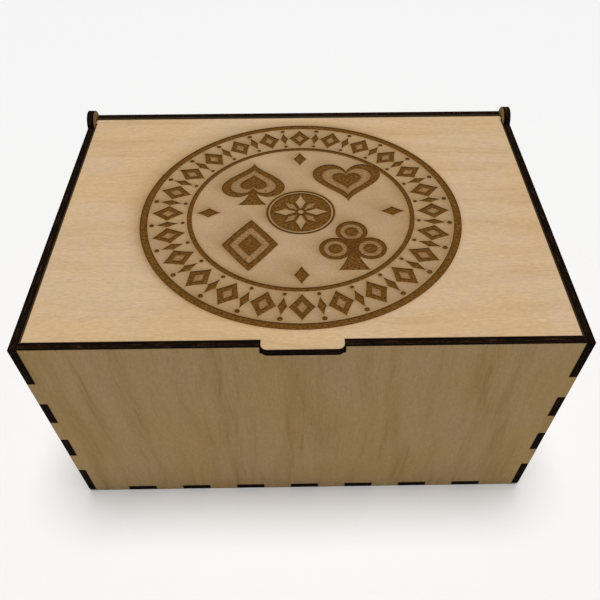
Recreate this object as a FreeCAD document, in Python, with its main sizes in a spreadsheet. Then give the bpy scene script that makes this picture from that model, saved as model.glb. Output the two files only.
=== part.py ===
import FreeCAD, Part
import math
import os

import Sketcher

# A hinged card box cut from one thickness of plywood: five finger-jointed panels and an inset
# lid that turns on two square pegs in the ears of the side panels.
# Millimetres, +X to the right, +Y to the rear, +Z up; the origin is the centre of the underside.

DRIVING_SIZES = [
    ("box_width", 203.2, "outside, across the two side panels"),
    ("box_depth", 152.4, "outside, across the front and rear panels"),
    ("box_height", 101.6, "from the underside to the top of the closed lid"),
    ("ply", 3.175, "thickness of the plywood"),
    ("finger", 12.7, "width of one finger or slot along a joint"),
    ("corner_ease", 1.5, "radius on the two lower corners of a side panel"),
    ("ear_radius", 6.35, "round ear at the rear top corner of a side panel"),
    ("peg_width", 3.175, "hinge peg of the lid, front to rear"),
    ("peg_clearance", 0.2, "between a corner of the hinge peg and its hole"),
    ("lid_swing_gap", 0.93, "rear corner of the turning lid to the rear panel"),
    ("lid_side_gap", 0.5, "lid to side panel, each side"),
    ("lid_front_gap", 0.3, "lid to front panel"),
    ("lift_tab_width", 29.4, "finger tab on the front edge of the lid"),
    ("lift_tab_reach", 1.2, "how far the tab stands out of the front panel"),
    ("lift_tab_corner", 2.5, "radius on the two outer corners of the tab"),
    ("lift_notch_gap", 0.3, "tab to the end of its notch, each end"),
    ("emblem_front_margin", 4.45, "front edge of the lid to the engraved ring"),
    ("emblem_rear_margin", 6.95, "engraved ring to the rear edge of the lid"),
    ("emblem_line", 3.1, "width of the engraved ring"),
    ("emblem_depth", 0.3, "depth of the engraving"),
]

# Sizes that several panels share, written from the driving sizes
HALF_WIDTH = "Sheet.box_width / 2"
HALF_DEPTH = "Sheet.box_depth / 2"
INNER_HALF_WIDTH = "(Sheet.box_width / 2 - Sheet.ply)"
INNER_HALF_DEPTH = "(Sheet.box_depth / 2 - Sheet.ply)"
LID_UNDERSIDE = "(Sheet.box_height - Sheet.ply)"
PEG_HALF_DIAGONAL = "sqrt(Sheet.ply ^ 2 + Sheet.peg_width ^ 2) / 2"
PEG_HOLE_RADIUS = f"({PEG_HALF_DIAGONAL} + Sheet.peg_clearance)"
# The hinge stands far enough in from the rear panel for the lid's rear corners to swing past it
HINGE_Y = f"({INNER_HALF_DEPTH} - {PEG_HALF_DIAGONAL} - Sheet.lid_swing_gap)"
HINGE_Z = "(Sheet.box_height - Sheet.ply / 2)"
LID_FRONT = f"(Sheet.lid_front_gap - {INNER_HALF_DEPTH})"
LID_REAR = f"({HINGE_Y} + Sheet.peg_width / 2)"

doc = FreeCAD.newDocument("CardBox")


def fill_sheet():
    """Writes the driving sizes, one named cell each."""
    sheet = doc.addObject("Spreadsheet::Sheet", "Sheet")
    for row, (name, size, meaning) in enumerate(DRIVING_SIZES, start=1):
        sheet.set(f"A{row}", meaning)
        sheet.set(f"B{row}", str(size))
        sheet.setAlias(f"B{row}", name)
    doc.recompute()
    return sheet


sheet = fill_sheet()


def value(expression):
    """The present value of an expression on the sheet, as a plain number."""
    found = sheet.evalExpression(expression)
    return float(getattr(found, "Value", found))


def finger_count(length):
    """Fingers of the inner panel along a joint, with an end piece of 1 to 2 fingers left over."""
    return f"floor(({length} / Sheet.finger - 1) / 2)"


def first_finger(length):
    """Distance from the start of a joint to its first inner finger."""
    return f"({length} - (2 * {finger_count(length)} - 1) * Sheet.finger) / 2"


def new_panel(name):
    body = doc.addObject("PartDesign::Body", name)
    body.Label = name
    return body


def origin_feature(body, role):
    return next(f for f in body.Origin.OriginFeatures if f.Role == role)


def new_sketch(body, plane):
    sketch = body.newObject("Sketcher::SketchObject", f"{body.Name}_sketch")
    sketch.AttachmentSupport = (origin_feature(body, plane), [""])
    sketch.MapMode = "FlatFace"
    return sketch


def bind(sketch, constraint, expression):
    """Adds a dimension whose value follows an expression on the sheet."""
    kind, *where = constraint
    index = sketch.addConstraint(Sketcher.Constraint(kind, *where, value(expression)))
    sketch.setExpression(f"Constraints[{index}]", expression)


def rectangle(body, plane, left, right, low, high):
    """A rectangle between four expressions, measured from the origin of the panel."""
    sketch = new_sketch(body, plane)
    x0, x1, y0, y1 = (value(side) for side in (left, right, low, high))
    corners = [(x0, y0), (x1, y0), (x1, y1), (x0, y1)]
    for start, end in zip(corners, corners[1:] + corners[:1]):
        sketch.addGeometry(Part.LineSegment(FreeCAD.Vector(*start, 0), FreeCAD.Vector(*end, 0)))
    for line in range(4):
        sketch.addConstraint(Sketcher.Constraint("Coincident", line, 2, (line + 1) % 4, 1))
        direction = "Horizontal" if line % 2 == 0 else "Vertical"
        sketch.addConstraint(Sketcher.Constraint(direction, line))
    bind(sketch, ("DistanceX", -1, 1, 0, 1), left)
    bind(sketch, ("DistanceX", -1, 1, 1, 1), right)
    bind(sketch, ("DistanceY", -1, 1, 0, 1), low)
    bind(sketch, ("DistanceY", -1, 1, 2, 1), high)
    return sketch


def circles(body, plane, across, up, radii):
    """Circles about one centre, given by expressions."""
    sketch = new_sketch(body, plane)
    centre = FreeCAD.Vector(value(across), value(up), 0)
    for index, radius in enumerate(radii):
        sketch.addGeometry(Part.Circle(centre, FreeCAD.Vector(0, 0, 1), value(radius)))
        bind(sketch, ("Radius", index), radius)
        bind(sketch, ("DistanceX", -1, 1, index, 3), across)
        bind(sketch, ("DistanceY", -1, 1, index, 3), up)
    return sketch


def extrude(body, kind, sketch, backwards, length="Sheet.ply"):
    feature = body.newObject(f"PartDesign::{kind}", f"{body.Name}_{kind}")
    feature.Profile = sketch
    feature.Reversed = backwards
    feature.setExpression("Length", length)
    doc.recompute()
    return feature


def thicken(body, sketch):
    """Plywood from the sketch plane towards +X, +Y or +Z of the panel."""
    against_normal = sketch.AttachmentSupport[0][0].Role == "XZ_Plane"
    return extrude(body, "Pad", sketch, against_normal)


def cut_through(body, sketch):
    """Cuts the sheet of plywood through, the way thicken() builds it."""
    with_normal = sketch.AttachmentSupport[0][0].Role != "XZ_Plane"
    return extrude(body, "Pocket", sketch, with_normal)


def repeat_along(body, feature, axis, length):
    """Repeats a finger or slot at every other place along a joint of that length."""
    pattern = body.newObject("PartDesign::LinearPattern", f"{body.Name}_pattern")
    pattern.Originals = [feature]
    pattern.Direction = (origin_feature(body, axis), [""])
    pattern.Mode = "Spacing"
    pattern.setExpression("Offset", "2 * Sheet.finger")
    pattern.setExpression("Occurrences", finger_count(length))
    body.Tip = pattern
    doc.recompute()
    return pattern


def round_edges(body, radius, chosen):
    """Rounds the straight edges that chosen(start, end) picks."""
    base = body.Tip
    names = [
        f"Edge{number}"
        for number, edge in enumerate(base.Shape.Edges, start=1)
        if len(edge.Vertexes) == 2 and chosen(*(corner.Point for corner in edge.Vertexes))
    ]
    fillet = body.newObject("PartDesign::Fillet", f"{body.Name}_Fillet")
    fillet.Base = (base, names)
    fillet.setExpression("Radius", radius)
    body.Tip = fillet
    doc.recompute()


def near(a, b):
    return math.isclose(a, b, abs_tol=1e-4)


def build_base_panel():
    """The base: its fingers pass under all four walls and show in their lower edges."""
    body = new_panel("base_panel")
    inner = (f"-{INNER_HALF_WIDTH}", INNER_HALF_WIDTH, f"-{INNER_HALF_DEPTH}", INNER_HALF_DEPTH)
    thicken(body, rectangle(body, "XY_Plane", *inner))
    start = f"{first_finger('Sheet.box_width')} - {HALF_WIDTH}"
    bar = (start, f"{start} + Sheet.finger", f"-{HALF_DEPTH}", HALF_DEPTH)
    front_and_rear = thicken(body, rectangle(body, "XY_Plane", *bar))
    repeat_along(body, front_and_rear, "X_Axis", "Sheet.box_width")
    start = f"{first_finger('Sheet.box_depth')} - {HALF_DEPTH}"
    bar = (f"-{HALF_WIDTH}", HALF_WIDTH, start, f"{start} + Sheet.finger")
    left_and_right = thicken(body, rectangle(body, "XY_Plane", *bar))
    repeat_along(body, left_and_right, "Y_Axis", "Sheet.box_depth")


def build_end_panel(name, place):
    """A front or rear wall: fingers into both side panels, slots for the base."""
    body = new_panel(name)
    inner = (f"-{INNER_HALF_WIDTH}", INNER_HALF_WIDTH, "0", "Sheet.box_height")
    thicken(body, rectangle(body, "XZ_Plane", *inner))
    start = first_finger("Sheet.box_height")
    bar = (f"-{HALF_WIDTH}", HALF_WIDTH, start, f"{start} + Sheet.finger")
    side_fingers = thicken(body, rectangle(body, "XZ_Plane", *bar))
    repeat_along(body, side_fingers, "Z_Axis", "Sheet.box_height")
    start = f"{first_finger('Sheet.box_width')} - {HALF_WIDTH}"
    slot = (start, f"{start} + Sheet.finger", "0", "Sheet.ply")
    base_slots = cut_through(body, rectangle(body, "XZ_Plane", *slot))
    repeat_along(body, base_slots, "X_Axis", "Sheet.box_width")
    body.setExpression("Placement.Base.y", place)
    return body


def cut_lift_notch(body):
    """The notch in the middle of the front panel's top edge, which carries the lid's tab."""
    half = "(Sheet.lift_tab_width / 2 + Sheet.lift_notch_gap)"
    notch = (f"-{half}", half, LID_UNDERSIDE, "Sheet.box_height")
    cut_through(body, rectangle(body, "XZ_Plane", *notch))


def side_outline(body):
    """Outline of a side panel: a rectangle whose rear top corner swells into a round ear, level
    with the hinge and flush with the rear face."""
    sketch = new_sketch(body, "YZ_Plane")
    half_depth, height, radius = (value(e) for e in (HALF_DEPTH, "Sheet.box_height", "Sheet.ear_radius"))
    ear_y, ear_z = half_depth - radius, value(HINGE_Z)
    neck_angle = math.pi - math.asin((height - ear_z) / radius)
    neck_y = ear_y + radius * math.cos(neck_angle)
    front_corners = [(neck_y, height), (-half_depth, height), (-half_depth, 0)]
    corners = front_corners + [(half_depth, 0), (half_depth, ear_z)]
    for start, end in zip(corners, corners[1:]):
        sketch.addGeometry(Part.LineSegment(FreeCAD.Vector(*start, 0), FreeCAD.Vector(*end, 0)))
    ring = Part.Circle(FreeCAD.Vector(ear_y, ear_z, 0), FreeCAD.Vector(0, 0, 1), radius)
    sketch.addGeometry(Part.ArcOfCircle(ring, 0, neck_angle))
    top, front, bottom, rear, ear = range(5)
    for one, other in ((top, front), (front, bottom), (bottom, rear), (ear, top)):
        sketch.addConstraint(Sketcher.Constraint("Coincident", one, 2, other, 1))
    sketch.addConstraint(Sketcher.Constraint("Tangent", rear, 2, ear, 1))
    for line in (top, bottom):
        sketch.addConstraint(Sketcher.Constraint("Horizontal", line))
    for line in (front, rear):
        sketch.addConstraint(Sketcher.Constraint("Vertical", line))
    bind(sketch, ("DistanceX", bottom, 1, bottom, 2), "Sheet.box_depth")
    bind(sketch, ("DistanceX", -1, 1, bottom, 2), HALF_DEPTH)
    bind(sketch, ("DistanceY", -1, 1, top, 1), "Sheet.box_height")
    bind(sketch, ("DistanceY", -1, 1, ear, 3), HINGE_Z)
    bind(sketch, ("Radius", ear), "Sheet.ear_radius")
    sketch.addConstraint(Sketcher.Constraint("PointOnObject", bottom, 1, -1))
    return sketch


def build_side_panel(name, place):
    """A side wall: slots for the end walls and the base, and the ear with the hinge hole."""
    body = new_panel(name)
    thicken(body, side_outline(body))
    start = first_finger("Sheet.box_height")
    for near_side, far_side in ((f"-{HALF_DEPTH}", f"-{INNER_HALF_DEPTH}"), (INNER_HALF_DEPTH, HALF_DEPTH)):
        slot = (near_side, far_side, start, f"{start} + Sheet.finger")
        end_slots = cut_through(body, rectangle(body, "YZ_Plane", *slot))
        repeat_along(body, end_slots, "Z_Axis", "Sheet.box_height")
    start = f"{first_finger('Sheet.box_depth')} - {HALF_DEPTH}"
    slot = (start, f"{start} + Sheet.finger", "0", "Sheet.ply")
    base_slots = cut_through(body, rectangle(body, "YZ_Plane", *slot))
    repeat_along(body, base_slots, "Y_Axis", "Sheet.box_depth")
    cut_through(body, circles(body, "YZ_Plane", HINGE_Y, HINGE_Z, [PEG_HOLE_RADIUS]))
    corner_y = value(HALF_DEPTH)
    round_edges(
        body,
        "Sheet.corner_ease",
        lambda a, b: near(a.y, b.y) and near(abs(a.y), corner_y) and near(a.z, 0) and near(b.z, 0),
    )
    body.setExpression("Placement.Base.x", place)


def build_lid():
    """The lid: a flat panel with a square peg at each rear corner and a tab on its front edge."""
    body = new_panel("lid")
    half = f"({INNER_HALF_WIDTH} - Sheet.lid_side_gap)"
    thicken(body, rectangle(body, "XY_Plane", f"-{half}", half, LID_FRONT, LID_REAR))
    pegs = (f"-{HALF_WIDTH}", HALF_WIDTH, f"{HINGE_Y} - Sheet.peg_width / 2", LID_REAR)
    thicken(body, rectangle(body, "XY_Plane", *pegs))
    tab_front = f"-{HALF_DEPTH} - Sheet.lift_tab_reach"
    tab = ("-Sheet.lift_tab_width / 2", "Sheet.lift_tab_width / 2", tab_front, f"{LID_FRONT} + Sheet.ply")
    thicken(body, rectangle(body, "XY_Plane", *tab))
    corner_x, corner_y = value("Sheet.lift_tab_width / 2"), value(tab_front)
    round_edges(
        body,
        "Sheet.lift_tab_corner",
        lambda a, b: near(a.x, b.x) and near(a.y, b.y) and near(abs(a.x), corner_x) and near(a.y, corner_y),
    )
    engrave_ring(body)
    body.setExpression("Placement.Base.z", LID_UNDERSIDE)


def engrave_ring(lid):
    """The shallow ring that frames the emblem, burnt into the top of the lid."""
    ring_front = f"({LID_FRONT} + Sheet.emblem_front_margin)"
    ring_rear = f"({LID_REAR} - Sheet.emblem_rear_margin)"
    outer = f"({ring_rear} - {ring_front}) / 2"
    centre = f"({ring_rear} + {ring_front}) / 2"
    ring = circles(lid, "XY_Plane", "0", centre, [outer, f"{outer} - Sheet.emblem_line"])
    ring.setExpression("AttachmentOffset.Base.z", "Sheet.ply")
    extrude(lid, "Pocket", ring, False, "Sheet.emblem_depth")


def check_features(body):
    """Every pad adds wood and every pocket removes it, and nothing failed."""
    for feature in body.Group:
        if {"Invalid", "Error"} & set(feature.State):
            raise RuntimeError(f"{feature.Name} failed: {feature.State}")
        base = getattr(feature, "BaseFeature", None)
        if base is None or not hasattr(feature, "Shape"):
            continue
        gained = feature.Shape.Volume - base.Shape.Volume
        adds = feature.TypeId == "PartDesign::Pad"
        removes = feature.TypeId in ("PartDesign::Pocket", "PartDesign::Fillet")
        if (adds and gained <= 0) or (removes and gained >= 0):
            raise RuntimeError(f"{feature.Name} changed the volume by {gained:.3f} cubic mm")


def export_panels():
    """Checks every panel and writes each to its own file."""
    os.makedirs("parts", exist_ok=True)
    panels = [thing for thing in doc.Objects if thing.TypeId == "PartDesign::Body"]
    for panel in panels:
        check_features(panel)
        shape = panel.Shape
        if shape.isNull() or not shape.isValid() or len(shape.Solids) != 1:
            raise RuntimeError(f"{panel.Label} is not one valid solid")
    for panel in panels:
        panel.Shape.exportStep(f"parts/{panel.Label}.step")
        box = panel.Shape.BoundBox
        size = f"{box.XLength:.2f} x {box.YLength:.2f} x {box.ZLength:.2f} mm"
        print(f"{panel.Label}: {size}, {panel.Shape.Volume / 1000:.2f} cubic cm")


build_base_panel()
front_panel = build_end_panel("front_panel", f"-{HALF_DEPTH}")
cut_lift_notch(front_panel)
build_end_panel("rear_panel", INNER_HALF_DEPTH)
build_side_panel("left_side_panel", f"-{HALF_WIDTH}")
build_side_panel("right_side_panel", INNER_HALF_WIDTH)
build_lid()
doc.recompute()
export_panels()
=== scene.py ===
import math

import bmesh
import bpy
from mathutils import Matrix, Vector
from mathutils.geometry import delaunay_2d_cdt
from mathutils.kdtree import KDTree


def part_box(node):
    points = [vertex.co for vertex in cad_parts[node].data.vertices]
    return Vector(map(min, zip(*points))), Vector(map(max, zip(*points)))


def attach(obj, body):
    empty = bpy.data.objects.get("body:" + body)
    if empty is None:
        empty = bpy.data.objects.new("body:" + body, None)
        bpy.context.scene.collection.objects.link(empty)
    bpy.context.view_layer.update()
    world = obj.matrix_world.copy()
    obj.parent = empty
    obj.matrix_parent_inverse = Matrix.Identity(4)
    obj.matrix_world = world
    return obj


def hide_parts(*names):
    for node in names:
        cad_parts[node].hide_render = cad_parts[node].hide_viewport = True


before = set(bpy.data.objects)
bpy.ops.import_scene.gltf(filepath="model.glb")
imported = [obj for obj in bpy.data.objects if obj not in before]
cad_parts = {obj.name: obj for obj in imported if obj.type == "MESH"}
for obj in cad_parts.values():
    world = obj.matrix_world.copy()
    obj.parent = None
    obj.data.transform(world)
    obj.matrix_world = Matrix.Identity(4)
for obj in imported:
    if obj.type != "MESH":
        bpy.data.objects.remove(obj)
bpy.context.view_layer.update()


# ---------------------------------------------------------------------------------------------
# Base panel. A rectangle of basswood plywood with the grain across the box. The laser that cuts
# it leaves charred edges, a thin scorched line on both faces and fingers that pass under the walls.
# ---------------------------------------------------------------------------------------------

MM = 0.001
ARRIS = 0.10 * MM          # how far the sharp corner of a cut edge is worn back
SCORCH = 0.45 * MM         # how far the brown of the cut runs onto the face
VENEER = 0.80 * MM         # thickness of each outer ply
GLUE_GROOVE = 0.05 * MM    # how far, and over what depth, the glue line burns back
CORE_STEP = 0.025 * MM     # the core burns back half as far
SAME_PLACE = 1e-6          # closer than this, two places are one
STRAIGHT = 1e-3            # a smaller sine than this is no bend
INSIDE_ONLY = 1            # the triangulation that covers only what lies inside the outlines
JOIN_WITHIN = 1e-9         # it joins points closer than this


def edge_profile(thickness):
    """The section of a cut edge from one face to the other: (depth, how far in, how charred)."""
    half = [   # from the face to the core
        (0, SCORCH, 0.0),
        (0, ARRIS, 0.45),
        (ARRIS * 0.3, ARRIS * 0.3, 0.85),
        (ARRIS, 0, 1.0),
        (VENEER, 0, 1.0),
        (VENEER + GLUE_GROOVE, GLUE_GROOVE, 1.0),
        (VENEER + 3 * GLUE_GROOVE, CORE_STEP, 1.0),
    ]
    return half + [(thickness - depth, inward, char) for depth, inward, char in reversed(half)]


def signed_area(loop):
    """The area of a closed loop, positive when it runs anticlockwise."""
    return sum(a.cross(b) for a, b in zip(loop, loop[1:] + loop[:1])) / 2


def ordered_loops(edges):
    """Chains loose edges, given as pairs of vertices, into closed loops."""
    beside = {}
    for a, b in edges:
        beside.setdefault(a, []).append(b)
        beside.setdefault(b, []).append(a)
    loops = []
    while beside:
        start = next(iter(beside))
        loop, here, last = [start], beside[start][0], start
        while here != start:
            loop.append(here)
            here, last = next(v for v in beside[here] if v != last), here
        for vertex in loop:
            del beside[vertex]
        loops.append(loop)
    return loops


def bends(before, here, after):
    """Whether an outline turns at a point."""
    return abs((here - before).normalized().cross((after - here).normalized())) > STRAIGHT


def inset(loop, distance):
    """The loop moved to its left, into the wood, by that distance."""
    moved_in = []
    for before, here, after in zip(loop[-1:] + loop[:-1], loop, loop[1:] + loop[:1]):
        ahead, behind = (after - here).normalized(), (here - before).normalized()
        normals = Vector((-behind.y, behind.x)), Vector((-ahead.y, ahead.x))
        mitre = (normals[0] + normals[1]) / (1 + normals[0].dot(normals[1]))
        moved_in.append(here + mitre * distance)
    return moved_in


class Panel:
    """One sheet of plywood under construction: its cut outlines, and how burnt each vertex is."""

    def __init__(self, node):
        self.node = node
        self.low, self.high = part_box(node)
        sizes = self.high - self.low
        self.thin = min(range(3), key=lambda axis: sizes[axis])
        self.flat = [axis for axis in range(3) if axis != self.thin]
        self.thickness = sizes[self.thin]
        self.points, self.faces = [], []
        self.marks = []
        self.outlines = self.read_outlines()

    def read_outlines(self):
        """The cut loops of the panel's lower or inner face, with the wood always on their left."""
        whole = bmesh.new()
        whole.from_mesh(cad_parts[self.node].data)
        bmesh.ops.remove_doubles(whole, verts=whole.verts, dist=SAME_PLACE)
        level = self.low[self.thin]
        face_edges = {}
        for face in whole.faces:
            if all(abs(v.co[self.thin] - level) < SAME_PLACE for v in face.verts):
                for edge in face.edges:
                    face_edges[edge] = face_edges.get(edge, 0) + 1
        rim = [edge.verts[:] for edge, count in face_edges.items() if count == 1]
        loops = []
        for chain in ordered_loops(rim):
            loop = [Vector((v.co[self.flat[0]], v.co[self.flat[1]])) for v in chain]
            around = zip(loop[-1:] + loop[:-1], loop, loop[1:] + loop[:1])
            loops.append([here for before, here, after in around if bends(before, here, after)])
        whole.free()
        loops.sort(key=lambda loop: -abs(signed_area(loop)))
        outer_first = [signed_area(loops[0]) > 0] + [signed_area(hole) < 0 for hole in loops[1:]]
        return [loop if right else loop[::-1] for loop, right in zip(loops, outer_first)]

    def vertex(self, spot, depth, **marks):
        """Adds a vertex at a spot in the plane of the sheet, at a depth below its high face. Its
        marks are amounts for the material to read, such as how charred it is."""
        place = [0.0, 0.0, 0.0]
        place[self.flat[0]], place[self.flat[1]] = spot
        place[self.thin] = self.high[self.thin] - depth
        self.points.append(place)
        self.marks.append(marks)
        return len(self.points) - 1

    def cut_edges(self):
        """The charred walls along every outline; returns the rims of the high and low faces."""
        rims = []
        for loop in self.outlines:
            rows = []
            for depth, inward, char in edge_profile(self.thickness):
                rows.append([self.vertex(spot, depth, char=char) for spot in inset(loop, inward)])
            for upper, lower in zip(rows, rows[1:]):
                for i in range(len(loop)):
                    j = (i + 1) % len(loop)
                    self.faces.append((upper[i], upper[j], lower[j], lower[i]))
            rims.append((rows[0], rows[-1]))
        return [rim[0] for rim in rims], [rim[1] for rim in rims]

    def plain_face(self, rims):
        """A flat face inside the rim of the outline, left open inside the rims of its holes."""
        indices, edges, loops = [], [], []
        for rim in rims:
            loop = [len(indices) + i for i in range(len(rim))]
            indices += rim
            edges += zip(loop, loop[1:] + loop[:1])
            loops.append(loop)
        spots = [Vector((self.points[i][self.flat[0]], self.points[i][self.flat[1]])) for i in indices]
        areas = [loops[0]] + [hole[::-1] for hole in loops[1:]]
        _, _, triangles, sources, _, owners = delaunay_2d_cdt(spots, edges, areas, INSIDE_ONLY, JOIN_WITHIN)
        for triangle, covered_by in zip(triangles, owners):
            if max(covered_by) == 0:
                self.faces.append(tuple(indices[sources[i][0]] for i in triangle))

    def finish(self, name, body, slot, material):
        """Closes the sheet into one piece that stands for its plain model and moves with its body."""
        mesh = bpy.data.meshes.new(name)
        mesh.from_pydata(self.points, [], self.faces)
        for name_of_mark in sorted({key for marks in self.marks for key in marks}):
            layer = mesh.attributes.new(name_of_mark, "FLOAT", "POINT")
            layer.data.foreach_set("value", [marks.get(name_of_mark, 0.0) for marks in self.marks])
        solid = bmesh.new()
        solid.from_mesh(mesh)
        bmesh.ops.recalc_face_normals(solid, faces=solid.faces)
        solid.to_mesh(mesh)
        solid.free()
        mesh.shade_smooth()
        mesh.set_sharp_from_angle(angle=math.radians(20))
        mesh.materials.append(material)
        piece = bpy.data.objects.new(name, mesh)
        bpy.context.scene.collection.objects.link(piece)
        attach(piece, body)
        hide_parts(self.node)


class Field:
    """A value that changes over a surface. Arithmetic on it adds its shader nodes."""

    def __init__(self, tree, socket=None):
        self.tree, self.socket = tree, socket

    def node(self, kind, settings=None, inputs=None, output=0):
        """Adds a node of that type, sets it up, feeds its inputs and returns one output."""
        made = self.tree.nodes.new(kind)
        for name, setting in (settings or {}).items():
            setattr(made, name, setting)
        for name, given in (inputs or {}).items():
            if isinstance(given, Field):
                self.tree.links.new(given.socket, made.inputs[name])
            else:
                made.inputs[name].default_value = given
        return Field(self.tree, made.outputs[output] if made.outputs else None)

    def math(self, operation, *others):
        operands = dict(enumerate((self, *others)))
        return self.node("ShaderNodeMath", {"operation": operation}, operands)

    def __add__(self, other):
        return self.math("ADD", other)

    def __mul__(self, other):
        return self.math("MULTIPLY", other)

    def __sub__(self, other):
        return self.math("SUBTRACT", other)

    def __rsub__(self, other):
        return (self * -1).math("ADD", other)

    __radd__, __rmul__ = __add__, __mul__

    def ramp(self, low, high):
        """0 below low, 1 above high, and smooth between them."""
        settings = {"interpolation_type": "SMOOTHSTEP"}
        return self.node("ShaderNodeMapRange", settings, {0: self, 1: low, 2: high, 3: 0.0, 4: 1.0})

    def mix(self, zero, one):
        """A colour that goes from zero to one as this value does."""
        colours = [c if isinstance(c, Field) else (*c, 1) for c in (zero, one)]
        inputs = {0: self, 6: colours[0], 7: colours[1]}
        return self.node("ShaderNodeMix", {"data_type": "RGBA", "clamp_factor": True}, inputs, 2)

    def tinted(self, brightness):
        """This colour made lighter or darker by a grey value."""
        grey = self.node("ShaderNodeCombineColor", None, {0: brightness, 1: brightness, 2: brightness})
        settings = {"data_type": "RGBA", "blend_type": "MULTIPLY"}
        return self.node("ShaderNodeMix", settings, {0: 1.0, 6: self, 7: grey}, 2)

    def noise(self, x, y, z, detail=2.0, roughness=0.5):
        """Soft noise between about 0.2 and 0.8 over a position given in its own units."""
        where = self.node("ShaderNodeCombineXYZ", None, {0: x, 1: y, 2: z})
        inputs = {"Vector": where, "Scale": 1.0, "Detail": detail, "Roughness": roughness}
        return self.node("ShaderNodeTexNoise", {"noise_dimensions": "3D"}, inputs)

    def mark(self, name):
        """An amount stored on the vertices of the piece."""
        return self.node("ShaderNodeAttribute", {"attribute_name": name}, None, "Fac")


LID_WOOD = (0.560, 0.392, 0.232)
# The walls' and base's wood: partly its own tone and partly painted shade, darker and more olive than the
# lid's wood, so the upright faces come out darker than the lid's top
WALL_WOOD_WITH_PAINTED_SHADE = (0.462, 0.312, 0.145)
CHAR_BLACK = (0.0042, 0.0022, 0.0011)
CHAR_BROWN = (0.062, 0.027, 0.013)
SCORCH_BROWN = (0.16, 0.085, 0.035)
RUBBED_BROWN = (0.17, 0.088, 0.042)   # where a turning peg has rubbed its char away


def basswood(surface, along, across, through, tone, seed, figure):
    """Basswood veneer: a pale, even wood with soft cloudy bands, broken darker streaks, a faint
    wavy figure and fine short pores. Positions are in millimetres, and figure is how strong the
    bands and streaks are. Returns the colour and the height for the bump."""
    # Each noise is stretched: fewer changes per millimetre along the grain than across it
    drift = surface.noise(along * 0.008, across * 0.014, through * 0.05 + seed, 2.0)
    wander = across + (drift - 0.5) * 24
    hue = surface.noise(along * 0.022, across * 0.034, through * 0.05 + (seed + 3), 2.0)
    cloud = surface.noise(along * 0.014, wander * 0.11, through * 0.1 + (seed + 5), 3.0, 0.6)
    streak = surface.noise(along * 0.030, wander * 0.50, through * 0.2 + (seed + 7), 2.0, 0.55)
    fibre = surface.noise(along * 0.12, wander * 1.9, through + (seed + 11), 5.0, 0.65)
    pore = surface.noise(along * 0.55, across * 1.5, through * 1.5 + (seed + 17), 4.0, 0.65)
    wave = (wander * 0.55 + (drift + cloud) * 16).math("SINE")
    grey = [c * k for c, k in zip(tone, (1.00, 1.015, 1.07))]
    yellow = [c * k for c, k in zip(tone, (1.00, 0.985, 0.91))]
    brown = [c * k for c, k in zip(tone, (0.82, 0.765, 0.655))]
    colour = hue.ramp(0.38, 0.62).mix(grey, yellow)
    broken = streak.ramp(0.54, 0.74) * cloud.ramp(0.36, 0.60)
    colour = ((cloud.ramp(0.42, 0.78) + broken) * (0.5 * figure)).mix(colour, brown)
    grain = (fibre - 0.5) * 0.27 + (pore - 0.5) * 0.50 + wave * 0.010
    height = fibre * 0.45 + pore * 0.55
    return colour.tinted(1.03 + grain), height


def charred_edge(surface, run, through, thickness, seed):
    """A laser-cut edge: black by the faces and the glue lines, brown streaks along the core, and
    the fine ribs that the pulses of the laser leave across the sheet."""
    core = (1.0 - (through * (2.0 / thickness) - 1.0).math("ABSOLUTE")).ramp(0.22, 0.62)
    streaks = surface.noise(run * 0.14, through * 2.2, seed, 3.0, 0.65).ramp(0.48, 0.70)
    soot = surface.noise(run * 0.8, through * 1.6, seed + 5, 3.0, 0.7)
    brown = core * (streaks * 0.95 + 0.04) * soot.ramp(0.30, 0.62)
    ribs = surface.noise(run * 3.2, through * 0.35, seed + 9, 1.0)
    return brown.mix(CHAR_BLACK, CHAR_BROWN), ribs * 0.7 + streaks * 0.3


def plywood(name, panel, grain_axis, tone, seed, figure=1.0, engraving=None, rubbed_from=None):
    """Unfinished basswood plywood for one panel, its grain along one axis of the object. Beyond
    rubbed_from, measured out from the middle of the box, the hinge pegs have lost some char."""
    material = bpy.data.materials.new(name)
    material.use_nodes = True
    tree = material.node_tree
    tree.nodes.clear()
    surface = Field(tree)
    place = surface.node("ShaderNodeTexCoord", None, None, "Object")
    axes = [place.node("ShaderNodeSeparateXYZ", None, {0: place}, axis) * (1 / MM) for axis in range(3)]
    thin = panel.thin
    cross_axis = next(axis for axis in range(3) if axis not in (thin, grain_axis))
    along, across = axes[grain_axis], axes[cross_axis]
    through = axes[thin] - panel.low[thin] / MM
    wood, fibre = basswood(surface, along, across, axes[thin], tone, seed, figure)
    edge, ribs = charred_edge(surface, along + across, through, panel.thickness / MM, seed)
    if rubbed_from:
        rubbed = axes[0].math("ABSOLUTE").ramp(rubbed_from / MM, (rubbed_from + MM) / MM)
        edge = (rubbed * (0.35 + ribs * 0.5)).mix(edge, RUBBED_BROWN)
    char = surface.mark("char")
    if engraving:
        wood, fibre = engraving(surface, wood, fibre, axes)
    singed = (char.ramp(0.02, 0.55) * 0.55).mix(wood, SCORCH_BROWN)
    burnt = char.ramp(0.50, 0.95)
    colour = burnt.mix(singed, edge)
    height = fibre * (1 - burnt) + ribs * burnt
    bump = surface.node("ShaderNodeBump", None, {"Strength": 0.35, "Distance": 0.00012, "Height": height})
    rough = 0.60 + (fibre - 0.5) * 0.22 + burnt * 0.12
    shader = surface.node(
        "ShaderNodeBsdfPrincipled",
        None,
        {"Base Color": colour, "Roughness": rough, "Normal": bump, "Specular IOR Level": 0.02},
    )
    surface.node("ShaderNodeOutputMaterial", None, {"Surface": shader})
    return material


X, Y, Z = range(3)

base = Panel("base_panel")
upper_rims, lower_rims = base.cut_edges()
base.plain_face(upper_rims)
base.plain_face(lower_rims)
base.finish("plywood_base", "box", "plywood_base", plywood("base_plywood", base, X, WALL_WOOD_WITH_PAINTED_SHADE, 1.0))


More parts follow.
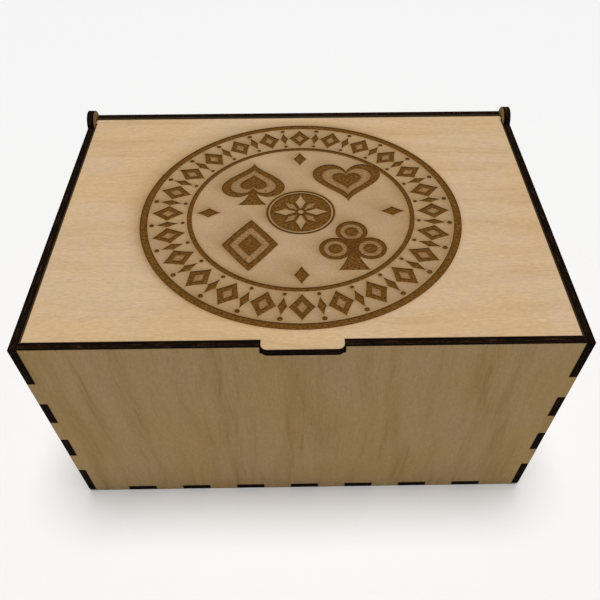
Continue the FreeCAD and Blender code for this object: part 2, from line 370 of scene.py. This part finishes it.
# ---------------------------------------------------------------------------------------------
# Walls. Front, rear and two side panels, cut from the same sheet with the grain upright. Their
# fingers interlock at the corners and around the base; the side panels carry the hinge ears.
# ---------------------------------------------------------------------------------------------

for seed, node in enumerate(("front_panel", "rear_panel", "left_side_panel", "right_side_panel"), 2):
    wall = Panel(node)
    upper_rims, lower_rims = wall.cut_edges()
    wall.plain_face(upper_rims)
    wall.plain_face(lower_rims)
    # The wall wood carries painted shade: it is darkened beside the lid's lighter wood
    finish = plywood(f"{node}_plywood", wall, Z, WALL_WOOD_WITH_PAINTED_SHADE, seed * 10.0, 1.4)
    wall.finish(f"plywood_{node}", "box", "plywood_walls", finish)


# ---------------------------------------------------------------------------------------------
# Lid. One sheet with its grain across the box, two square hinge pegs and a lift tab. A laser has
# engraved a round emblem of card suits into its top: deep dark lines, shallower toned areas and
# a toasted field inside the ring. The smoke has stained the wood around every line.
# ---------------------------------------------------------------------------------------------

lid = Panel("lid")
between_faces = (lid.low.z + SAME_PLACE, lid.high.z - SAME_PLACE)
groove = [
    v.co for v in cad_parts["lid"].data.vertices
    if between_faces[0] < v.co.z < between_faces[1]
]
emblem_x = (min(p.x for p in groove) + max(p.x for p in groove)) / 2
emblem_y = (min(p.y for p in groove) + max(p.y for p in groove)) / 2
EMBLEM_CENTRE = Vector((emblem_x, emblem_y))
RING_OUTER = max((p.xy - EMBLEM_CENTRE).length for p in groove)
RING_INNER = min((p.xy - EMBLEM_CENTRE).length for p in groove)
ENGRAVED = lid.high.z - min(p.z for p in groove)
TONED = ENGRAVED * 0.45    # the shallower engraving of a toned area
DEEP_BROWN = (0.134, 0.058, 0.0110)
DEEP_EDGE = (0.082, 0.033, 0.0055)
TONED_BROWN = (0.290, 0.172, 0.074)
SMOKE_YELLOW = (0.190, 0.095, 0.014)
TOASTED = (0.390, 0.257, 0.138)
TOASTED_EDGE = 0.5 * MM    # half the width over which the toasted field fades in at the ring
SKIN_TOP, SKIN_BASE = 0.8 * MM, 1.2 * MM   # below the top face, where its toasting fades out


def toned_range(amount, tone, dark, light):
    """The tone made darker and lighter by a noise."""
    ends = [[c * k for c in tone] for k in (dark, light)]
    return amount.ramp(0.39, 0.61).mix(*ends)


def engraving(surface, wood, fibre, axes):
    """Lays the toasted field, the smoke and the burnt levels of the emblem over the wood."""
    x, y = axes[X] - EMBLEM_CENTRE.x / MM, axes[Y] - EMBLEM_CENTRE.y / MM
    radius = (x * x + y * y).math("SQRT")
    top = axes[Z].ramp((lid.high.z - SKIN_BASE) / MM, (lid.high.z - SKIN_TOP) / MM)
    field_ends = (RING_INNER - TOASTED_EDGE) / MM, (RING_INNER + TOASTED_EDGE) / MM
    field = top * (1 - radius.ramp(*field_ends))
    stipple = surface.noise(axes[X] * 0.9, axes[Y] * 1.5, 91.0, 3.0, 0.75)
    passes = surface.noise(axes[X] * 0.7, axes[Y] * 2.4, 64.0, 3.0, 0.7)
    patch = surface.noise(axes[X] * 0.05, axes[Y] * 0.07, 47.0, 3.0)
    smoke, burn, rim = (surface.mark(name) for name in ("smoke", "burn", "rim"))
    toast = 0.74 + (patch - 0.5) * 0.9 + (stipple - 0.5) * 1.3 + (passes - 0.5) * 0.5
    colour = (field * toast).mix(wood, TOASTED)
    drift = 1.0 + (patch - 0.5) * 0.6 + (stipple - 0.5) * 0.4
    colour = (smoke * drift).mix(colour, SMOKE_YELLOW)
    toned = toned_range(stipple * 0.5 + passes * 0.5, TONED_BROWN, 0.60, 1.38)
    deep = toned_range(stipple * 0.4 + passes * 0.6, DEEP_BROWN, 0.36, 1.68)
    deep = (rim * 0.8).mix(deep, DEEP_EDGE)
    toned = (rim * 0.6).mix(toned, DEEP_BROWN)
    colour = burn.ramp(0.05, 0.45).mix(colour, toned)
    colour = burn.ramp(0.55, 0.95).mix(colour, deep)
    height = fibre * (1 - burn * 0.7) + stipple * (field * 0.6 + burn * 0.8)
    return colour, height


pegs_from = lid.high.x - lid.thickness
lid_finish = plywood("lid_plywood", lid, X, LID_WOOD, 77.0, 0.9, engraving, pegs_from)

LINE_STEP = 0.55 * MM      # spacing of the points along an engraved circle
FEWEST_POINTS = 16         # of the smallest circle


def circle(radius, centre=(0, 0)):
    """A round outline."""
    count = max(FEWEST_POINTS, int(math.tau * radius / LINE_STEP))
    turns = [math.tau * i / count for i in range(count)]
    return [Vector((centre[0] + radius * math.cos(a), centre[1] + radius * math.sin(a))) for a in turns]


def lozenge(half_width, half_height, pinch=0.9):
    """A four-pointed diamond. Its sides bow inwards where pinch is under 1, outwards over it."""
    count, power = 28, 2 / pinch
    loop = []
    for i in range(count):
        c, s = math.cos(math.tau * i / count), math.sin(math.tau * i / count)
        across = math.copysign(abs(c) ** power, c) * half_width
        loop.append(Vector((across, math.copysign(abs(s) ** power, s) * half_height)))
    return loop


def heart(size, flip=1):
    """A heart of that height, drawn by the usual cosine curve, or upturned as a spade's leaf."""
    count, loop = 56, []
    curve_height, to_middle = 29, 2.5
    for i in range(count):
        a = math.tau * i / count
        up = 13 * math.cos(a) - 5 * math.cos(2 * a) - 2 * math.cos(3 * a) - math.cos(4 * a)
        spot = Vector((16 * math.sin(a) ** 3, flip * (up + to_middle)))
        loop.append(spot * (size / curve_height))
    return loop


def stem(size, top):
    """The flared foot of a spade or a club, from its top down. Sizes are shares of the suit's."""
    count = 9
    neck, flare, sweep, foot = 0.035, 0.17, 2.6, 0.52
    right = []
    for i in range(count):
        down = i / (count - 1)
        right.append(Vector((size * (neck + flare * down ** sweep), top - (top + size * foot) * down)))
    left = [Vector((-p.x, p.y)) for p in reversed(right)]
    return right + left


def moved(loop, x, y):
    """The outline set down somewhere else."""
    return [Vector((p.x + x, p.y + y)) for p in loop]


def ring_of(name, loop, count, radius, start, finish):
    """Repeats a flat outline around a circle, its top outwards, and returns the repeats."""
    flat = bpy.data.meshes.new(name)
    flat.from_pydata([(p.x, p.y, 0) for p in loop], [], [list(range(len(loop)))])
    motif = bpy.data.objects.new(name, flat)
    bpy.context.scene.collection.objects.link(motif)

    tree = bpy.data.node_groups.new(name, "GeometryNodeTree")
    settings = {}
    for label, kind, value in (
        ("Motif", "NodeSocketObject", motif),
        ("Count", "NodeSocketInt", count),
        ("Radius", "NodeSocketFloat", radius),
        ("Start Angle", "NodeSocketFloat", float(start)),
        ("Finish", "NodeSocketMaterial", finish),
    ):
        socket = tree.interface.new_socket(label, in_out="INPUT", socket_type=kind)
        settings[socket.identifier] = value
    tree.interface.new_socket("Geometry", in_out="OUTPUT", socket_type="NodeSocketGeometry")
    given = tree.nodes.new("NodeGroupInput").outputs

    def step(kind, **inputs):
        node = tree.nodes.new(kind)
        for socket, source in inputs.items():
            tree.links.new(source, node.inputs[socket.replace("_", " ")])
        return node

    ring = step("GeometryNodeMeshCircle", Vertices=given["Count"], Radius=given["Radius"])
    turn = step("ShaderNodeCombineXYZ", Z=given["Start Angle"])
    turned = step("GeometryNodeTransform", Geometry=ring.outputs[0], Rotation=turn.outputs[0])
    place = step("GeometryNodeInputPosition")
    outward = step("FunctionNodeAlignRotationToVector", Vector=place.outputs[0])
    outward.axis, outward.pivot_axis = "Y", "Z"
    shape = step("GeometryNodeObjectInfo", Object=given["Motif"])
    stamped = step(
        "GeometryNodeInstanceOnPoints",
        Points=turned.outputs[0], Instance=shape.outputs["Geometry"], Rotation=outward.outputs[0],
    )
    real = step("GeometryNodeRealizeInstances", Geometry=stamped.outputs[0])
    finished = step("GeometryNodeSetMaterial", Geometry=real.outputs[0], Material=given["Finish"])
    step("NodeGroupOutput", Geometry=finished.outputs[0])

    holder = bpy.data.objects.new(f"{name} ring", bpy.data.meshes.new(f"{name} ring"))
    bpy.context.scene.collection.objects.link(holder)
    modifier = holder.modifiers.new(name, "NODES")
    modifier.node_group = tree
    for identifier, value in settings.items():
        modifier[identifier] = value
    evaluated = holder.evaluated_get(bpy.context.evaluated_depsgraph_get())
    made = bpy.data.meshes.new_from_object(evaluated)
    loops = [[made.vertices[i].co.xy.copy() for i in face.vertices] for face in made.polygons]
    helper_meshes = (made, holder.data, flat)
    for helper in (holder, motif):
        bpy.data.objects.remove(helper)
    for mesh in helper_meshes:
        bpy.data.meshes.remove(mesh)
    return loops


# The emblem as the laser runs it: each outline is filled at its level over those before it
PLAIN, SHALLOW, DEEP = "plain", "shallow", "deep"
FINE_RING = 47.2 * MM
FINE_LINE = 2.0 * MM
BAND = (RING_INNER + FINE_RING) / 2    # middle of the border between the two rings
BAND_MOTIFS = 24
HALF_STEP = math.pi / BAND_MOTIFS      # puts a motif between two lozenges of the border
BEADS_OUT = 6.3 * MM                   # from the middle of the border to its beads
MEDALLION = 14.4 * MM
MEDALLION_LINE = 0.9 * MM
MEDALLION_GAP = 0.7 * MM               # plain wood inside the medallion's outline
strokes = [
    (circle(RING_OUTER), DEEP),
    (circle(RING_INNER), PLAIN),
    (circle(FINE_RING), DEEP),
    (circle(FINE_RING - FINE_LINE), PLAIN),
    (circle(MEDALLION), DEEP),
    (circle(MEDALLION - MEDALLION_LINE), PLAIN),
    (circle(MEDALLION - MEDALLION_LINE - MEDALLION_GAP), DEEP),
]
repeats = [   # name, outline, how many, how far out, where the first one is, level
    ("band lozenges", lozenge(4.9 * MM, 6.6 * MM, 0.95), BAND_MOTIFS, BAND, 0, DEEP),
    ("lozenge hearts", lozenge(2.1 * MM, 3.1 * MM, 0.95), BAND_MOTIFS, BAND, 0, SHALLOW),
    ("slim lozenges", lozenge(1.8 * MM, 4.6 * MM), BAND_MOTIFS, BAND, HALF_STEP, DEEP),
    ("outer beads", circle(1.0 * MM), BAND_MOTIFS, BAND + BEADS_OUT, HALF_STEP, DEEP),
    ("inner beads", circle(0.8 * MM), BAND_MOTIFS, BAND - BEADS_OUT, HALF_STEP, DEEP),
    ("long blades", lozenge(2.3 * MM, 5.4 * MM, 0.85), 4, 6.4 * MM, 0, PLAIN),
    ("short blades", lozenge(1.7 * MM, 4.2 * MM, 0.85), 4, 5.6 * MM, math.pi / 4, SHALLOW),
    ("side lozenges", lozenge(3.0 * MM, 4.9 * MM), 4, 38.3 * MM, 0, DEEP),
]
for name, shape, count, radius, start, level in repeats:
    for loop in ring_of(name, shape, count, radius, start, lid_finish):
        strokes.append((loop, level))
STAR_HUB, STAR_EYE = 2.3 * MM, 1.2 * MM
strokes += [(circle(STAR_HUB), DEEP), (circle(STAR_EYE), PLAIN)]

SUIT = 29.5 * MM           # about the height of each suit
OFFSET = 20.4 * MM         # from the middle of the emblem to a suit, across and up alike
INLAY = ((1.0, DEEP), (0.72, SHALLOW), (0.42, DEEP))   # outline, toned body and dark heart of a suit
CLUB_LOBES = ((0, 0.25), (-0.235, -0.1), (0.235, -0.1))
# The outlines of each suit by its side and height, sized in shares of SUIT; two also have a stem
suits = {
    (-1, 1): [moved(heart(SUIT * 0.84, -1), 0, SUIT * 0.08)],   # the leaf of the spade
    (1, 1): [heart(SUIT * 0.92)],
    (-1, -1): [lozenge(SUIT * 0.38, SUIT * 0.52, 1.05)],
    (1, -1): [moved(circle(SUIT * 0.22), SUIT * x, SUIT * y) for x, y in CLUB_LOBES],
}
strokes.append((moved(stem(SUIT, -SUIT * 0.05), -OFFSET, OFFSET), DEEP))
strokes.append((moved(stem(SUIT, SUIT * 0.12), OFFSET, -OFFSET), DEEP))
strokes.append((circle(SUIT * 0.10, (OFFSET, SUIT * 0.02 - OFFSET)), DEEP))
for (side, up), lobes in suits.items():
    for scale, level in INLAY:
        for lobe in lobes:
            middle = sum(lobe, Vector((0, 0))) / len(lobe)
            inlay = [middle + (spot - middle) * scale for spot in lobe]
            strokes.append((moved(inlay, side * OFFSET, up * OFFSET), level))

# Set on the lid, every outline turned anticlockwise
strokes = [(moved(loop, *EMBLEM_CENTRE), level) for loop, level in strokes]
strokes = [(loop if signed_area(loop) > 0 else loop[::-1], level) for loop, level in strokes]
LEVEL_DEPTH = {PLAIN: 0.0, SHALLOW: TONED, DEEP: ENGRAVED}
LEVEL_BURN = {PLAIN: 0.0, SHALLOW: 0.5, DEEP: 1.0}

FINE_GRID, COARSE_GRID = 0.8 * MM, 3.0 * MM    # spacing of the face's points near the emblem and off it
GRID_REACH = 10 * MM       # how far the fine points go on outside the ring
RIM_MARGIN = 1.2 * MM      # points keep this far from the lid's edge
LINE_MARGIN = 0.35 * MM    # and this far from an engraved line
LINE_EDGE = 0.55 * MM      # how far the darker edge of a line fades over
JOIN_CROSSINGS = 1e-8      # points this close where engraved lines cross become one
DRAUGHT = Vector((-0.74, 0.67))        # the way the extraction drew the smoke
CONTACT_STAIN, CONTACT_REACH = 0.16, 0.5       # the stain right beside a line, and its reach in mm
PLUME = ((0.4, 0.17), (1.2, 0.13), (2.6, 0.12), (4.6, 0.11), (7.4, 0.07))   # mm downwind, and how much
PLUME_WIDTH, PLUME_SPREAD = 0.35, 0.30         # how wide the plume starts in mm, and widens per mm


def inside(spot, loop):
    """Whether a spot lies inside a closed loop."""
    crossings = 0
    for a, b in zip(loop, loop[1:] + loop[:1]):
        if (a.y > spot.y) != (b.y > spot.y):
            crossings += spot.x < a.x + (spot.y - a.y) / (b.y - a.y) * (b.x - a.x)
    return crossings % 2 == 1


def face_grid(fine, coarse, reach):
    """Points over the lid's top: close together around the emblem, further apart elsewhere."""
    spots = []
    for step, near_emblem in ((fine, True), (coarse, False)):
        columns = int((lid.high.x - lid.low.x) / step)
        rows = int((lid.high.y - lid.low.y) / step)
        for i in range(columns + 1):
            for j in range(rows + 1):
                shift = step / 2 if j % 2 else 0
                spot = Vector((lid.low.x + i * step + shift, lid.low.y + j * step))
                if ((spot - EMBLEM_CENTRE).length < reach) == near_emblem:
                    spots.append(spot)
    return spots


def engraved_face(panel, rim):
    """The lid's top face with the emblem sunk into it, its walls and its smoke stains."""
    outline = [Vector(panel.points[i][:2]) for i in rim]
    lines = KDTree(sum(len(loop) for loop, _ in strokes))
    for index, spot in enumerate(p for loop, _ in strokes for p in loop):
        lines.insert((*spot, 0), index)
    lines.balance()
    spots, edges, faces = list(outline), [], [list(range(len(outline)))]
    edges += [(i, (i + 1) % len(outline)) for i in range(len(outline))]
    for loop, _ in strokes:
        start = len(spots)
        spots += loop
        faces.append(list(range(start, start + len(loop))))
    border = inset(outline, RIM_MARGIN)
    for spot in face_grid(FINE_GRID, COARSE_GRID, RING_OUTER + GRID_REACH):
        if lines.find((*spot, 0))[2] > LINE_MARGIN and inside(spot, border):
            spots.append(spot)
    cut_up = delaunay_2d_cdt(spots, edges, faces, INSIDE_ONLY, JOIN_CROSSINGS)
    new_spots, _, triangles, sources, _, containers = cut_up
    smoke = smoke_amounts(new_spots, triangles, containers)
    rims = [math.exp(-lines.find((*spot, 0))[2] / LINE_EDGE) for spot in new_spots]
    made = {}

    def at(index, level):
        if (index, level) not in made:
            source = sources[index][0] if sources[index] else None
            if source is not None and source < len(outline):
                made[index, level] = rim[source]
            else:
                made[index, level] = panel.vertex(
                    new_spots[index], LEVEL_DEPTH[level],
                    burn=LEVEL_BURN[level], smoke=smoke[index], rim=rims[index],
                )
        return made[index, level]

    sides = {}
    for triangle, owners in zip(triangles, containers):
        level = level_of(owners)
        panel.faces.append(tuple(at(i, level) for i in triangle))
        for i in range(3):
            edge = triangle[i], triangle[(i + 1) % 3]
            sides.setdefault(tuple(sorted(edge)), []).append(level)
    for (a, b), levels in sides.items():
        if len(levels) == 2 and levels[0] != levels[1]:
            one, other = levels
            panel.faces.append((at(a, one), at(b, one), at(b, other), at(a, other)))


def level_of(owners):
    """The level of the last stroke that covers a triangle; owner 0 is the face itself."""
    last = max(owners)
    return strokes[last - 1][1] if last else PLAIN


def smoke_amounts(spots, triangles, containers):
    """How stained each spot is: most beside a deep line, and far out where the draught blew."""
    deep = set()
    for triangle, owners in zip(triangles, containers):
        if level_of(owners) == DEEP:
            deep.update(triangle)
    tree = KDTree(len(deep))
    for index in deep:
        tree.insert((*spots[index], 0), index)
    tree.balance()
    amounts = []
    for spot in spots:
        around = tree.find((*spot, 0))[2] / MM
        amount = CONTACT_STAIN * math.exp(-around / CONTACT_REACH)
        for carried, share in PLUME:
            upwind = spot - DRAUGHT * carried * MM
            spread = PLUME_WIDTH + PLUME_SPREAD * carried
            amount += share * math.exp(-tree.find((*upwind, 0))[2] / MM / spread)
        amounts.append(amount)
    return amounts


upper_rims, lower_rims = lid.cut_edges()
lid.plain_face(lower_rims)
engraved_face(lid, upper_rims[0])
lid.finish("engraved_lid", "lid", "plywood_lid", lid_finish)


# ---------------------------------------------------------------------------------------------
# Studio. A plain pale floor that isn't part of the box, one large soft light overhead with a weak
# glow from all round, and the camera in front of the box, looking down on its lid.
# ---------------------------------------------------------------------------------------------

FLOOR_SIZE = 9.0
PALE_PAPER = (0.87, 0.87, 0.87, 1)
WHITE = (1, 1, 1, 1)
floor_mesh = bpy.data.meshes.new("floor")
corners = [(x * FLOOR_SIZE / 2, y * FLOOR_SIZE / 2, 0) for x, y in ((-1, -1), (1, -1), (1, 1), (-1, 1))]
floor_mesh.from_pydata(corners, [], [(0, 1, 2, 3)])
floor = bpy.data.objects.new("floor", floor_mesh)
bpy.context.scene.collection.objects.link(floor)
floor_finish = bpy.data.materials.new("floor_paper")
floor_finish.use_nodes = True
floor_shader = floor_finish.node_tree.nodes["Principled BSDF"]
floor_shader.inputs["Base Color"].default_value = PALE_PAPER
floor_shader.inputs["Roughness"].default_value = 0.9
floor_mesh.materials.append(floor_finish)

TOWARDS_LIGHT = Vector((0.03, 0.05, 1))
overhead_data = bpy.data.lights.new("overhead", "SUN")
overhead_data.energy = 3.03
overhead_data.angle = math.radians(30)
overhead = bpy.data.objects.new("overhead", overhead_data)
overhead.rotation_euler = TOWARDS_LIGHT.to_track_quat("Z", "Y").to_euler()
bpy.context.scene.collection.objects.link(overhead)

world = bpy.data.worlds.new("studio")
world.use_nodes = True
bpy.context.scene.world = world
sky = Field(world.node_tree)
world.node_tree.nodes.clear()
seen = sky.node("ShaderNodeLightPath", None, None, "Is Camera Ray")
glow = sky.node("ShaderNodeBackground", None, {"Color": WHITE, "Strength": 0.10})
backdrop = sky.node("ShaderNodeBackground", None, {"Color": WHITE, "Strength": 0.92})
both = sky.node("ShaderNodeMixShader", None, {0: seen, 1: glow, 2: backdrop})
sky.node("ShaderNodeOutputWorld", None, {"Surface": both})
bpy.context.scene.view_settings.view_transform = "Standard"

camera_data = bpy.data.cameras.new("camera")
camera_data.sensor_width = 36
camera_data.lens = 36.997
camera_data.shift_x = -0.01276
camera_data.shift_y = 0.14501
camera_data.clip_start, camera_data.clip_end = 0.01, 20
camera = bpy.data.objects.new("camera", camera_data)
CAMERA_PLACE = (-0.00031, -0.21546, 0.26257)
PITCH, ROLL, YAW = 0.64815, -0.00243, -0.01415
turn = Matrix.Rotation(YAW, 4, "Z") @ Matrix.Rotation(PITCH, 4, "X") @ Matrix.Rotation(ROLL, 4, "Z")
camera.matrix_world = Matrix.Translation(CAMERA_PLACE) @ turn
bpy.context.scene.collection.objects.link(camera)
bpy.context.scene.camera = camera
